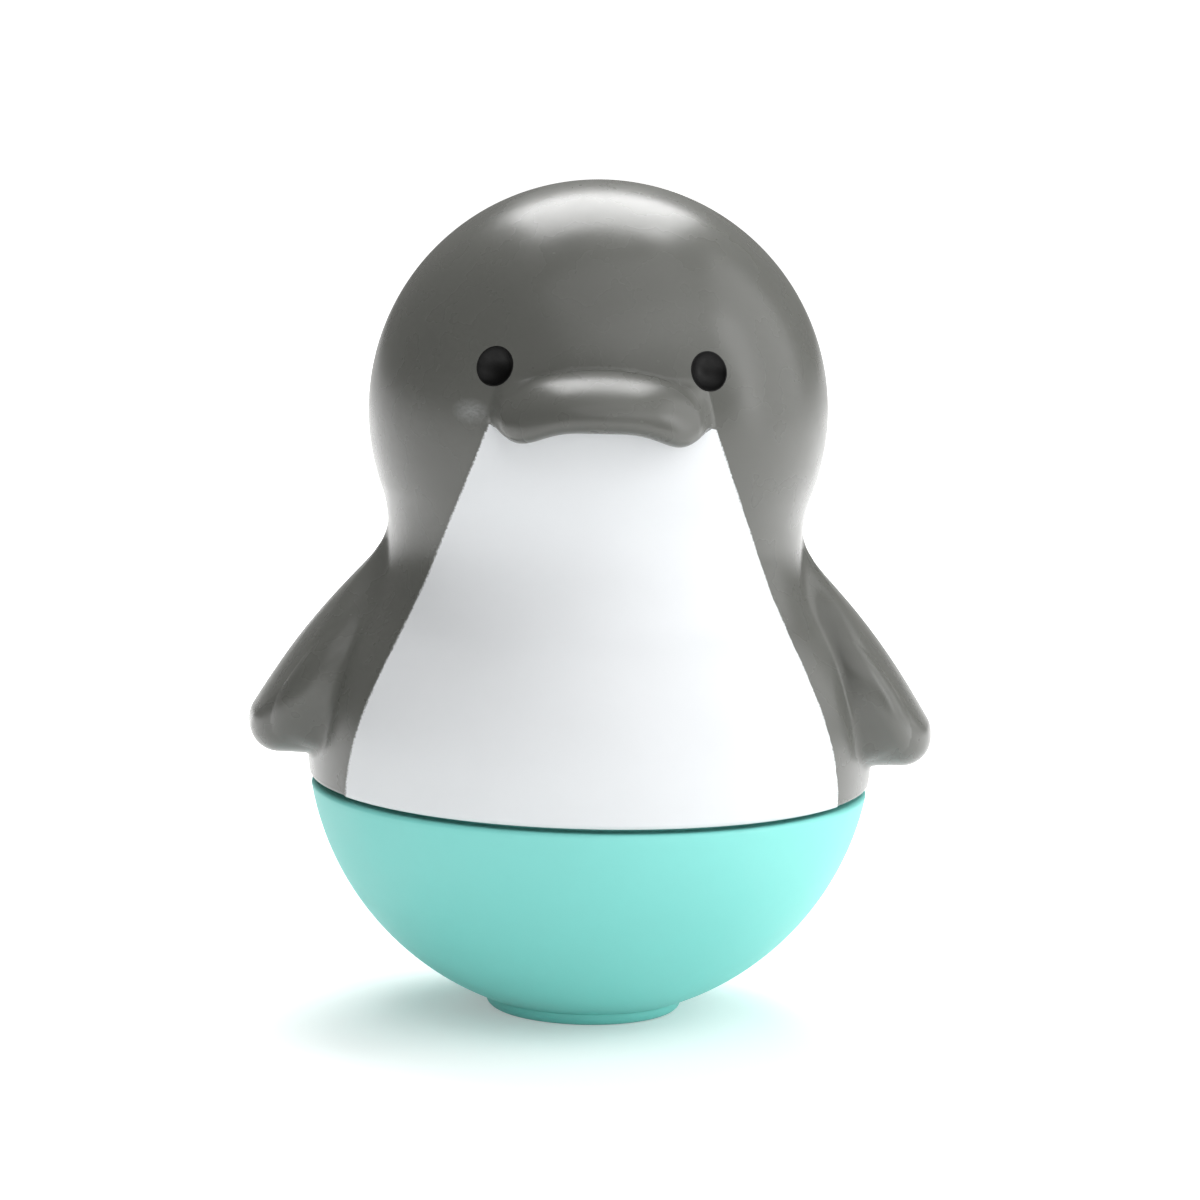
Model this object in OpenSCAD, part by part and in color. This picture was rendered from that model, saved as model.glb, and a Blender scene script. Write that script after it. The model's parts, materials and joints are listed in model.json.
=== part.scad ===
// Roly poly toy: a round-bottomed animal figure with a weighted bowl base.
// Millimetres, +Z up. The origin is on the floor, in the middle of the foot, and the face looks along -Y.

/* [Body] */
// Diameter of the round belly and of the bowl under it
body_d = 72; // [66:1:80]
// Diameter of the head
head_d = 58; // [54:1:63]
// Height of the head's centre above the belly's centre
head_rise = 41.6; // [39:0.2:46]
// Radius of the shoulders, in profile, above the widest line of the belly
shoulder_r = 25; // [21:1:29]
// Radius of the hollow of the neck, in profile
neck_r = 15.2; // [12:0.2:20]
// Wall of the two body shells
shell_wall = 2.2; // [1.8:0.1:2.6]

/* [Seam] */
// Height of the belly's centre above the seam between body and bowl
seam_drop = 5.7; // [4.5:0.1:7]
// Open shadow gap that shows at the seam
seam_gap = 0.7; // [0.4:0.1:1.2]
// Edge break on both sides of the seam
seam_break = 0.6; // [0.3:0.1:0.9]
// How far the bowl's spigot stands up inside the body
spigot_h = 5; // [4:0.5:7]
// Wall of the spigot
spigot_wall = 1.8; // [1.4:0.1:2.2]
// Least wall of the body round the spigot
socket_wall = 2.4; // [2:0.1:3]
// Height of the inner rib that sits on the spigot
seat_rib_h = 2; // [1.5:0.5:3]
// Radial clearance of the glued spigot in its socket
spigot_fit = 0.15; // [0.1:0.05:0.3]

/* [Flippers] */
// Width over the two flipper tips
flipper_span = 87; // [84:1:92]
// Width of a flipper from front to back
flipper_w = 29; // [26:1:32]
// Radius of the rounded edge of the flippers
flipper_r = 3.4; // [3:0.1:4]
// Height of the tip's centre above the belly's centre
flipper_tip_rise = 1.4; // [0.6:0.2:3]
// How deep the centre of the upper end lies inside the neck
flipper_top_sink = 2.7; // [2:0.1:3.4]
// Height of the neck's narrowest line above the upper end's centre
flipper_top_drop = 4; // [3:0.1:5]
// How far the outer line bulges between its upper end and its tip
flipper_bulge = 1.2; // [0.6:0.1:2]
// How far the outer face falls back from its middle to the front and back edges
flipper_bow = 1.8; // [1:0.1:3]
// How far the root reaches in from the upper end
flipper_root = 6; // [4:0.5:8]
// Wall of the hollow flippers
flipper_wall = 1.8; // [1.4:0.1:2.2]

/* [Bill] */
// Overall width of the bill
bill_w = 27; // [24:0.5:30]
// Height of the bill in the middle
bill_h = 7.2; // [6:0.2:8.4]
// How far the bill stands out of the face
bill_reach = 5.8; // [4.5:0.1:6.6]
// Height of the corners of the bill above the head's centre
bill_rise = 0.6; // [0:0.1:2]
// How far the two lobes hang below the corners
bill_lobe = 2.3; // [1.6:0.1:3]
// Place of the lobes: more sets them nearer to the corners
bill_lobe_set = 1.85; // [1.5:0.05:2.2]
// How far the front lip hangs below the middle of the bill
bill_sag = 1.2; // [0.6:0.1:1.8]
// Fullness of the bill's ends: 2 is an ellipse, and more is squarer
bill_full = 3; // [2.5:0.1:4]
// Wall of the hollow bill
bill_wall = 1.8; // [1.4:0.1:2.2]

/* [Eyes] */
// Diameter of the recessed eyes
eye_d = 5; // [4:0.2:6]
// Depth of the eye recess
eye_depth = 1.3; // [0.9:0.1:1.5]
// Angle of each eye from the front, seen from above
eye_turn = 27.7; // [24:0.1:34]
// Angle of the eyes above the head's centre
eye_lift = 15.3; // [13:0.1:22]

/* [Paint] */
// Thickness of the sprayed paint coats
paint_t = 0.2; // [0.1:0.05:0.3]
// How far the white belly is tucked in under the ends of the bill
belly_tuck = 0.5; // [0.2:0.1:1.5]
// Width of the white belly at the seam
belly_w = 61.4; // [54:0.2:64]
// Width of the white belly where it starts to flare
belly_waist_w = 40.8; // [36:0.2:44]
// Height of the flare's start above the belly's centre
belly_waist_rise = 23.5; // [20:0.5:27]
// How far the flare keeps the slope of the upper edge
belly_flare_top = 9; // [6:0.5:11]
// How far the flare keeps upright above the seam
belly_flare_low = 9; // [6:0.5:12]

/* [Alignment pins] */
// Diameter of the pins on the back shell
pin_d = 2.4; // [2:0.1:3]
// Length of the pins
pin_l = 3; // [2:0.5:4]
// Diametral clearance of the pin sockets
pin_fit = 0.2; // [0.1:0.05:0.4]
// Wall of the bosses round the pins
pin_boss_wall = 1.7; // [1.4:0.1:2.2]

/* [Base] */
// Wall of the bowl
bowl_wall = 2.4; // [2:0.1:3]
// Diameter of the foot cap
foot_d = 25; // [23:0.5:28]
// Thickness of the foot cap
foot_t = 1.5; // [1.2:0.1:2]
// Rounding of the foot cap's lower edge
foot_round = 1.1; // [0.8:0.1:1.2]
// Diameter of the plug ring on the foot cap
plug_d = 16; // [15:0.5:18]
// Wall of the plug ring
plug_wall = 2.4; // [2:0.1:2.6]
// Clearance round and above the glued plug ring
plug_fit = 0.15; // [0.1:0.05:0.3]
// Bowl floor that the ballast screw clamps
web_t = 1.8; // [1.4:0.1:2.4]

/* [Ballast] */
// Thickness of the iron ballast
ballast_h = 9; // [6:0.5:11]
// Gap between the ballast and the bowl's side
ballast_gap = 0.8; // [0.5:0.1:1.2]
// Thickness of the foam pad under the ballast
pad_t = 1; // [0.6:0.1:1.6]
// Margin of the pad inside the flat floor
pad_margin = 1; // [0.5:0.1:2]
// Thread diameter of the ballast screw
screw_d = 3; // [2.5:0.5:4]
// Length of thread in the ballast
screw_grip = 6; // [4:0.5:7]
// Diameter of the screw's head
screw_head_d = 6; // [5.5:0.1:7]
// Height of the screw's head
screw_head_h = 2.2; // [1.8:0.1:2.6]
// Width of the cross recess in the head
driver_w = 3.4; // [3:0.1:4]
// Thickness of each arm of the cross recess
driver_t = 0.9; // [0.7:0.1:1.1]
// Depth of the cross recess
driver_depth = 1.2; // [0.8:0.1:1.4]
// Outer diameter of the washer
washer_d = 9; // [8:0.1:9.6]
// Thickness of the washer
washer_t = 0.6; // [0.4:0.1:0.8]
// Radial clearance of the screw in every hole
screw_fit = 0.1; // [0.05:0.05:0.2]

/* [Hidden] */

// Smoothness: degrees per step on the profile arcs, and facets round and along the turned and swept forms
arc_step = 5;
$fn = 96;
sweep_fn = 32;
curve_steps = 12;
flipper_rows = 8;
bill_rings = 20;
bill_sides = 24;

GREY = [0.41, 0.42, 0.415];
WHITE = [0.94, 0.95, 0.96];
BLACK = [0.03, 0.03, 0.03];
AQUA = [0.43, 0.87, 0.82];
IRON = [0.36, 0.36, 0.38];
FOAM = [0.16, 0.16, 0.17];
ZINC = [0.75, 0.76, 0.78];

// Heights of the floor stack, from the foot upwards
body_r = body_d / 2;
foot_r = foot_d / 2;
belly_z = foot_t + sqrt(pow(body_r, 2) - pow(foot_r, 2));
plug_h = washer_t + screw_head_h + plug_fit;
web_z = foot_t + plug_h;
floor_z = web_z + web_t;
pad_z = floor_z + pad_t;
ballast_top = pad_z + ballast_h;

// Profile of the body: belly, shoulder, neck and head are arcs that meet tangentially
belly_c = [0, belly_z];
head_r = head_d / 2;
head_z = belly_z + head_rise;
head_c = [0, head_z];
shoulder_c = [body_r - shoulder_r, belly_z];
neck_to_head = head_r + neck_r;
neck_to_shoulder = shoulder_r + neck_r;
centre_line = shoulder_c - head_c;
centre_span = norm(centre_line);
neck_along = (pow(neck_to_head, 2) - pow(neck_to_shoulder, 2) + pow(centre_span, 2)) / (2 * centre_span);
neck_across = sqrt(pow(neck_to_head, 2) - pow(neck_along, 2));
neck_dir = centre_line / centre_span;
neck_c = head_c + neck_along * neck_dir + neck_across * [-neck_dir.y, neck_dir.x];
head_turn = atan2(neck_c.y - head_z, neck_c.x);
shoulder_turn = atan2(neck_c.y - belly_z, neck_c.x - shoulder_c.x);
body_top = head_z + head_r;

// Seam, socket and spigot
edge_z = belly_z - seam_drop + seam_gap / 2;
rim_z = edge_z - seam_gap;
seat_z = rim_z + spigot_h;
rib_z = seat_z + seat_rib_h;
socket_r = round_at(body_r, edge_z) - socket_wall;
spigot_r = socket_r - spigot_fit;
spigot_bore = spigot_r - spigot_wall;

// Flippers: drop-shaped leaves on the sides of the body, each the hull of rows of balls
FLIPPER_SPREAD = 140;
FLIPPER_TAPER = 1.3;
flipper_tip = [flipper_span / 2 - flipper_r, belly_z + flipper_tip_rise];
flipper_top = [neck_c.x - neck_r - flipper_top_sink, neck_c.y - flipper_top_drop];
flipper_half = flipper_w / 2 - flipper_r;
flipper_root_x = flipper_top.x - flipper_root;

// Bill: a row of upright ovals on the face, between a domed upper edge and a lobed lower edge
bill_z = head_z + bill_rise;

// Eyes: a ball cuts each recess, and the paint lines it
eye_r = eye_d / 2;
eye_rim = head_r - sqrt(pow(head_r, 2) - pow(eye_r, 2));
eye_sag = eye_depth + paint_t - eye_rim;
eye_ball_r = (pow(eye_r, 2) + pow(eye_sag, 2)) / (2 * eye_sag);
eye_ball_at = head_r - eye_depth - paint_t + eye_ball_r;

// Pins on the parting plane, at these angles on each side of the head
PIN_ANGLES = [-8, 62];
pin_r = pin_d / 2;
pin_boss_r = pin_r + pin_boss_wall;
pin_at = head_r - shell_wall - pin_boss_r + pin_boss_wall / 2;

// Radius of a ball round the belly's centre at height z
function round_at(r, z) = sqrt(pow(r, 2) - pow(z - belly_z, 2));

// Points of an arc, without the last one where the next arc follows on
function arc(c, r, from, to, last = true) =
    let (steps = ceil(abs(to - from) / arc_step))
    [for (i = [0:last ? steps : steps - 1])
        let (a = from + (to - from) * i / steps)
        c + r * [cos(a), sin(a)]];

// Profile from height z up to the crown, set in by d from the outer surface, with its lower edge broken
function body_line(d, z, edge = 0) =
    let (
        start = z + edge - belly_z,
        belly_from = asin(start / (body_r - d)),
        shoulder_from = max(0, asin(start / (shoulder_r - d)))
    )
    concat(
        edge > 0 ? [[round_at(body_r - d, z) - edge, z]] : [],
        start < 0 ? arc(belly_c, body_r - d, belly_from, 0, false) : [],
        arc(shoulder_c, shoulder_r - d, shoulder_from, shoulder_turn, false),
        arc(neck_c, neck_r + d, shoulder_turn + 180, head_turn + 180, false),
        arc(head_c, head_r - d, head_turn, 90)
    );

// Profile of the hollow inside the body: socket, rib and the room above it
function hollow_line() = concat(
    [
        [0, rim_z],
        [socket_r, rim_z],
        [socket_r, seat_z],
        [spigot_bore, seat_z],
        [spigot_bore, rib_z],
    ],
    body_line(shell_wall, rib_z)
);

// Angle at which a ball of radius r round an eye's centre meets the head
function eye_lip(r) =
    asin((pow(head_r, 2) - pow(r, 2) - pow(eye_ball_at, 2)) / (2 * eye_ball_at * r));

// Point of a cubic curve through a and d with handles b and c
function curve(a, b, c, d, t) =
    pow(1 - t, 3) * a + 3 * t * pow(1 - t, 2) * b + 3 * pow(t, 2) * (1 - t) * c + pow(t, 3) * d;

// Solid body of revolution, set in by d, standing on height z
module body_solid(d, z, edge = 0) {
    rotate_extrude()
        polygon(concat([[0, z]], body_line(d, z, edge)));
}

// Half space in front of (side -1) or behind (side 1) the parting plane
module half(side) {
    span = 2 * flipper_span;
    translate([-span / 2, side < 0 ? -span : 0, 0])
        cube([span, span, body_top + head_r]);
}

// Centre of a ball of the flipper: u runs from its upper end to its tip, and side from front to back
function flipper_ball(u, side) =
    let (
        across = side * sin(FLIPPER_SPREAD * pow(u, FLIPPER_TAPER)),
        line = flipper_top + u * (flipper_tip - flipper_top)
    )
    [line.x + flipper_bulge * sin(180 * u) - flipper_bow * pow(across, 2), flipper_half * across, line.y];

// One flipper on the +X side, set in by d
module flipper(d) {
    hull()
        for (i = [0:flipper_rows], side = [-1:1]) {
            ball = flipper_ball(i / flipper_rows, side);
            for (x = [ball.x, flipper_root_x])
                translate([x, ball.y, ball.z])
                    sphere(r = flipper_r - d, $fn = sweep_fn);
        }
}

module flippers(d) {
    flipper(d);
    mirror([1, 0, 0])
        flipper(d);
}

// One oval of the bill, at angle t from -90 to 90 along it, set in by d
function bill_ring(t, d) =
    let (
        full = pow(1 - pow(abs(sin(t)), bill_full), 1 / bill_full),
        x = (bill_w / 2 - d) * sin(t),
        upper = bill_z + (bill_h - d) * cos(t),
        lower = bill_z + d * cos(t) - bill_lobe * pow(sin(180 * pow(abs(sin(t)), bill_lobe_set)), 2),
        z = (upper + lower) / 2,
        rise = (upper - lower) / 2,
        y = -sqrt(pow(head_r, 2) - pow(x, 2) - pow(z - head_z, 2))
    )
    [for (i = [0:bill_sides - 1])
        let (a = 360 * i / bill_sides, out = full * cos(a))
        [x, y - (bill_reach - d) * out, z + rise * sin(a) - bill_sag * max(0, out)]];

// The bill, set in by d, with a point at each end
module bill(d) {
    last = bill_rings - 2;
    foot = (bill_rings - 1) * bill_sides;
    rings = [for (i = [1:bill_rings - 1]) bill_ring(180 * i / bill_rings - 90, d)];
    polyhedron(
        points = concat([for (ring = rings) each ring], [bill_ring(-90, d)[0], bill_ring(90, d)[0]]),
        faces = [for (k = [0:bill_sides - 1])
            let (next = (k + 1) % bill_sides)
            each concat(
                [[foot, next, k], [foot + 1, last * bill_sides + k, last * bill_sides + next]],
                [for (i = [0:last - 1])
                    let (here = i * bill_sides, there = here + bill_sides)
                    each [[here + k, here + next, there + next], [here + k, there + next, there + k]]]
            )]
    );
}

// Places its children at an eye, with +Z pointing out of the head
module at_eye(side) {
    translate([0, 0, head_z])
        rotate([0, 0, side * eye_turn])
            rotate([90 - eye_lift, 0, 0])
                translate([0, 0, eye_ball_at])
                    children();
}

// Skin of the whole upper body, with hollow flippers
module skin() {
    difference() {
        union() {
            body_solid(0, edge_z, seam_break);
            flippers(0);
        }
        rotate_extrude()
            polygon(hollow_line());
        intersection() {
            flippers(flipper_wall);
            translate([-flipper_span / 2, -flipper_span / 2, rib_z])
                cube([flipper_span, flipper_span, body_top]);
        }
    }
}

module pin_posts(r, from, to) {
    for (a = PIN_ANGLES, side = [-1, 1])
        translate([side * pin_at * cos(a), from, head_z + pin_at * sin(a)])
            rotate([-90, 0, 0])
                cylinder(r = r, h = to - from);
}

// Bosses that run from the parting plane into the shell's wall
module pin_bosses() {
    intersection() {
        body_solid(shell_wall / 2, edge_z);
        pin_posts(pin_boss_r, -head_r, head_r);
    }
}

module front_shell() {
    color(GREY)
        difference() {
            intersection() {
                union() {
                    skin();
                    pin_bosses();
                    bill(0);
                }
                half(-1);
            }
            bill(bill_wall);
            pin_posts(pin_r + pin_fit / 2, -pin_l - pin_fit, pin_l);
            for (side = [-1, 1])
                at_eye(side)
                    sphere(r = eye_ball_r);
        }
}

module back_shell() {
    color(GREY) {
        intersection() {
            union() {
                skin();
                pin_bosses();
            }
            half(1);
        }
        pin_posts(pin_r, -pin_l, pin_l);
    }
}

// Front view of the white belly: straight upper edges that flare to the seam
function belly_edge() =
    let (
        top = [bill_w / 2 - belly_tuck, bill_z],
        waist = [belly_waist_w / 2, belly_z + belly_waist_rise],
        low = [belly_w / 2, edge_z],
        slope = (waist - top) / (top.y - waist.y)
    )
    concat(
        [top],
        [for (i = [0:curve_steps])
            curve(
                waist,
                waist + belly_flare_top * slope,
                low + [0, belly_flare_low],
                low,
                i / curve_steps
            )]
    );

module belly_mask() {
    edge = belly_edge();
    mirrored = [for (i = [len(edge) - 1:-1:0]) [-edge[i].x, edge[i].y]];
    rotate([90, 0, 0])
        linear_extrude(body_r + bill_reach)
            polygon(concat(edge, mirrored));
}

module belly_paint() {
    color(WHITE)
        difference() {
            intersection() {
                body_solid(-paint_t, edge_z + seam_break);
                belly_mask();
            }
            body_solid(0, edge_z, seam_break);
            bill(0);
            flippers(0);
        }
}

module eye_paint(side) {
    face_r = eye_ball_r - paint_t;
    color(BLACK)
        at_eye(side)
            rotate_extrude()
                polygon(concat(
                    arc([0, 0], eye_ball_r, -90, eye_lip(eye_ball_r)),
                    arc([0, 0], face_r, eye_lip(face_r), -90)
                ));
}

module left_eye_paint() {
    eye_paint(1);
}

module right_eye_paint() {
    eye_paint(-1);
}

module base_bowl() {
    bowl_r = body_r - bowl_wall;
    bore_z = belly_z - sqrt(pow(bowl_r, 2) - pow(spigot_bore, 2));
    rim_r = round_at(body_r, rim_z);
    foot_a = asin((foot_t - belly_z) / body_r);
    break_a = asin((rim_z - seam_break - belly_z) / body_r);
    color(AQUA)
        rotate_extrude()
            polygon(concat(
                [
                    [screw_d / 2 + screw_fit, web_z],
                    [plug_d / 2 + plug_fit, web_z],
                    [plug_d / 2 + plug_fit, foot_t],
                ],
                arc(belly_c, body_r, foot_a, break_a),
                [
                    [rim_r - seam_break, rim_z],
                    [spigot_r, rim_z],
                    [spigot_r, seat_z],
                    [spigot_bore, seat_z],
                ],
                arc(belly_c, bowl_r, asin((bore_z - belly_z) / bowl_r), asin((floor_z - belly_z) / bowl_r)),
                [[screw_d / 2 + screw_fit, floor_z]]
            ));
}

module foot_cap() {
    plug_r = plug_d / 2;
    flat_r = foot_r - foot_round;
    color(AQUA)
        rotate_extrude()
            polygon(concat(
                [[0, 0]],
                arc([flat_r, foot_round], foot_round, -90, 0),
                [
                    [foot_r, foot_t],
                    [plug_r, foot_t],
                    [plug_r, web_z - plug_fit],
                    [plug_r - plug_wall, web_z - plug_fit],
                    [plug_r - plug_wall, foot_t],
                    [0, foot_t],
                ]
            ));
}

module ballast_weight() {
    ballast_r = body_r - bowl_wall - ballast_gap;
    low = asin((pad_z - belly_z) / ballast_r);
    high = asin((ballast_top - belly_z) / ballast_r);
    color(IRON)
        difference() {
            rotate_extrude()
                polygon(concat([[0, pad_z]], arc(belly_c, ballast_r, low, high), [[0, ballast_top]]));
            translate([0, 0, pad_z - pad_t])
                cylinder(r = screw_d / 2 + screw_fit, h = pad_t + screw_grip + screw_d / 2);
        }
}

module ballast_pad() {
    pad_r = round_at(body_r - bowl_wall, floor_z) - pad_margin;
    color(FOAM)
        translate([0, 0, floor_z])
            difference() {
                cylinder(r = pad_r, h = pad_t);
                translate([0, 0, -pad_t])
                    cylinder(r = screw_d / 2 + screw_fit, h = 3 * pad_t);
            }
}

module ballast_screw() {
    head_z0 = web_z - washer_t - screw_head_h;
    color(ZINC)
        difference() {
            union() {
                translate([0, 0, head_z0])
                    cylinder(d = screw_head_d, h = screw_head_h);
                translate([0, 0, head_z0])
                    cylinder(d = screw_d, h = pad_z + screw_grip - head_z0);
            }
            for (turn = [0, 90])
                rotate([0, 0, turn])
                    translate([-driver_w / 2, -driver_t / 2, head_z0 - driver_depth])
                        cube([driver_w, driver_t, 2 * driver_depth]);
        }
}

module screw_washer() {
    color(ZINC)
        translate([0, 0, web_z - washer_t])
            difference() {
                cylinder(d = washer_d, h = washer_t);
                translate([0, 0, -washer_t])
                    cylinder(r = screw_d / 2 + screw_fit, h = 3 * washer_t);
            }
}

front_shell();
back_shell();
belly_paint();
left_eye_paint();
right_eye_paint();
base_bowl();
foot_cap();
ballast_weight();
ballast_pad();
ballast_screw();
screw_washer();
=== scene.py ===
"""Looks of the roly poly toy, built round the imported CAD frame.

Shapes are worked out in millimetres in the CAD frame: +Z is up, the face looks along -Y, and the figure's
left is +X. They are scaled to metres when a mesh is made.
"""

import json
import math

import bmesh
import bpy
import numpy as np
from mathutils import Matrix, Vector


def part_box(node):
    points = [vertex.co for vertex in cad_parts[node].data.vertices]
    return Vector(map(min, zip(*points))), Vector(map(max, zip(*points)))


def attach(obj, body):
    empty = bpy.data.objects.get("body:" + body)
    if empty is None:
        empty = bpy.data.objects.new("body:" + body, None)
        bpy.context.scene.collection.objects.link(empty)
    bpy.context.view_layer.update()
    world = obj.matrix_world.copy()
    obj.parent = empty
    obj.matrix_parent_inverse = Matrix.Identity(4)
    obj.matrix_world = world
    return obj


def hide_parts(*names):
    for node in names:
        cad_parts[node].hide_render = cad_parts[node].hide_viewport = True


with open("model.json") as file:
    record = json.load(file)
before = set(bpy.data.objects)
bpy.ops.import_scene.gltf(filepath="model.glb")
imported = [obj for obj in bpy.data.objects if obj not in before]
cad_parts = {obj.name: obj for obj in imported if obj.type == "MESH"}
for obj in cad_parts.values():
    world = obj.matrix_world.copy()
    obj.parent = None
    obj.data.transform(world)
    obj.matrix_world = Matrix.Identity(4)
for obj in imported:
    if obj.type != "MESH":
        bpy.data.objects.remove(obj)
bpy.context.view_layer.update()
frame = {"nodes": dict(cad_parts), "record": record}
MM = 0.001


def node_box(node):
    """Lowest and highest corner of a CAD node, in millimetres."""
    low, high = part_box(node)
    return np.array(low) / MM, np.array(high) / MM


SHELL_LOW, SHELL_HIGH = node_box("front_shell")
BACK_HIGH = node_box("back_shell")[1]
BOWL_HIGH = node_box("base_bowl")[1]
FOOT_HIGH = node_box("foot_cap")[1]

# Body of revolution: belly, shoulder, neck and head are arcs that meet tangentially
BODY_R = BACK_HIGH[1]
HEAD_R = 29.0
HEAD_RISE = 41.6
SHOULDER_R = 25.0
NECK_R = 15.2
WALL = 2.2
HEAD_Z = SHELL_HIGH[2] - HEAD_R
BELLY_Z = HEAD_Z - HEAD_RISE
HEAD_C = np.array([0.0, HEAD_Z])
SHOULDER_C = np.array([BODY_R - SHOULDER_R, BELLY_Z])

# Seam between the body and the bowl
EDGE_Z = SHELL_LOW[2]
SEAM_GAP = 0.7
EDGE_ROUND = 0.6
CUT_Z = EDGE_Z + EDGE_ROUND
RIM_Z = EDGE_Z - SEAM_GAP
SPIGOT_TOP = BOWL_HIGH[2]
SPIGOT_WALL = 1.8
SOCKET_WALL = 2.4
SPIGOT_FIT = 0.15

# Bowl and foot
BOWL_WALL = 2.4
FOOT_R = FOOT_HIGH[0]
FOOT_T = 1.5
FOOT_ROUND = 1.1
PLUG_R = 8.0
PLUG_WALL = 2.4
PLUG_TOP = FOOT_HIGH[2]
PLUG_FIT = 0.15
WEB_T = 1.8
SCREW_HOLE_R = 1.6

# Flippers: drop-shaped leaves with a rounded edge
FLIPPER_R = 3.4
FLIPPER_HALF_W = 14.5
FLIPPER_TIP_RISE = 1.4
FLIPPER_TOP_SINK = 2.7
FLIPPER_TOP_DROP = 4.0
FLIPPER_BULGE = 1.2
FLIPPER_BOW = 1.8
FLIPPER_SPREAD = math.radians(140)
FLIPPER_TAPER = 1.3
FLIPPER_SOFT_TIP = 0.06
FLIPPER_LEAF = FLIPPER_HALF_W - FLIPPER_R
FLIPPER_FILLET = 0.9
FLIPPER_TOP_FILLET = 2.5
FLIPPER_FILLET_SPAN = (48, 56)

# Bill: its spans are shares of its half width, or heights over its middle
BILL_HALF_W = 14.2
BILL_H = 7.2
BILL_REACH = 7.3
BILL_RISE = 0.6
BILL_LOBE = 2.1
BILL_LOW_RISE = 0.8
BILL_LOBE_SET = 1.85
BILL_SAG = 2.3
BILL_SQUARE = 2.05
BILL_FULL = 2.0
BILL_END = 0.985
BILL_SINK = 2.6
BILL_SINK_SPAN = (0.82, 1)
BILL_FILLET = 0.45
BILL_SIDE_FILLET = 3.0
BILL_SIDE_SPAN = (0.5, 0.95)
BILL_UP_SPAN = (-0.5, 2.5)
BILL_END_SPAN = (0.85, 1)
BILL_Z = HEAD_Z + BILL_RISE

# Eyes: round recesses lined with a black coat
EYE_R = 2.5
EYE_DEPTH = 1.35
EYE_TURN = math.radians(27.7)
EYE_LIFT = math.radians(15.3)
EYE_COAT = 0.1
EYE_RIM = HEAD_R - math.sqrt(HEAD_R**2 - EYE_R**2)
EYE_SAG = EYE_DEPTH + EYE_COAT - EYE_RIM
EYE_BALL_R = (EYE_R**2 + EYE_SAG**2) / (2 * EYE_SAG)
EYE_BALL_AT = HEAD_R - EYE_DEPTH - EYE_COAT + EYE_BALL_R

# White belly, and the waves in its sprayed edge as size, length and phase
COAT = 0.1
COAT_ROOT = 0.15
BELLY_TOP_X = 13.9
BELLY_SHIFT = 0.25
BELLY_WAIST = np.array([20.65, BELLY_Z + 23.5])
BELLY_LOW = np.array([30.6, EDGE_Z])
BELLY_FLARE = 9.0
BELLY_LOW_FLARE = 11.5
BELLY_TUCK = 1.6
BELLY_WIDEST = 0.98
EDGE_WAVES = ((0.05, 5.3, 0.4), (0.025, 1.9, 2.1), (0.01, 0.83, 4.0))

# Parts of space in which a flipper or the bill is worked out
WING_FROM_X = 18
WING_HALF_Y = 20
WING_TOP_Z = 64
FACE_HALF_X = 17
FACE_FROM_Y = -18
FACE_LOW_Z = 70
FACE_TOP_Z = 90

# Meshes: cell sizes, spans with small cells, and steps
CELLS = (0.36, 0.85)
FINE_X = ((0, 15.5), (21, 50))
FINE_Y = (-17, 17)
FINE_FACE_Y = -21
FINE_Z = ((0, 61), (73.5, 87))
BELLY_CELLS = (180, 96)
BELLY_CURVE_STEPS = 200
EDGE_STEPS = 5
INNER_ROWS = 40
INNER_COLUMNS = 49
TURNED_COLUMNS = 192
EYE_COLUMNS = 96
EYE_STEPS = 32
EYE_CUT_STEPS = 48
BOWL_STEPS = 60
BOWL_INNER_STEPS = 40
FOOT_STEPS = 12
SHARP = math.radians(32)
NORMAL_AGREES = 0.6
ON_SKIN = 0.01
LINE_ROUNDS = 3
SETTLE_ROUNDS = 4
SLOPE_STEP = 1e-3
LEAST_SLOPE = 0.1
LEAST_SETTLE = 0.05
TINY = 1e-6

# Colours as display values
DISPLAY_WHITE = 255
GREY = (98, 99, 95)
WHITE = (240, 243, 246)
BLACK = (7, 7, 7)
AQUA = (132, 229, 221)
IRON = (98, 97, 100)
FOAM = (45, 45, 47)
ZINC = (196, 198, 202)

# Rubbed spot on the right cheek
RUB_PLACE = Vector((-15.6, -24.0, 78.9)) * MM
RUB_HALF_SIZE = Vector((2.9, 3.2, 1.7)) * MM
RUB_CORE = 0.2
RUB_STRENGTH = 0.25

# Camera
CAMERA_AIM = Vector((0.83, 0, 52.57)) * MM
CAMERA_FAR = 0.6
CAMERA_TURN = math.radians(-0.8)
CAMERA_LIFT = math.radians(8.39)
CAMERA_ROLL = math.radians(1.48)
CAMERA_LENS = 141.63
CAMERA_SENSOR = 36
CAMERA_CLIP = 50

# Studio: each lamp's turn from the camera's side towards the figure's left, height angle, size and power
WORLD_LIGHT = 0.2
WORLD_TINT = (1, 0.985, 0.95)
LAMP_FAR = 0.8
LAMP_AIM = Vector((0, 0, 0.05))
LAMPS = {
    "back_box": (180, 57, (0.6, 0.5), 7.2),
    "right_box": (104, 26, (0.5, 0.75), 1.9),
    "right_core": (80, 20, (0.14, 0.6), 1.4),
    "key_box": (40, 38, (0.9, 0.5), 1.0),
    "front_top_box": (22, 60, (1.0, 0.7), 2.2),
    "front_low_box": (10, 8, (1.2, 0.35), 1.1),
}
FLOOR_REACH = 15
FLOOR_PAPER = 0.85
FLOOR_ROUGHNESS = 0.9
FLOOR_SPECULAR = 0.1
FLOOR_GLOW_SPAN = (0.02, 0.16)
FLOOR_GLOW = (0.28, 0.95)


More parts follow.
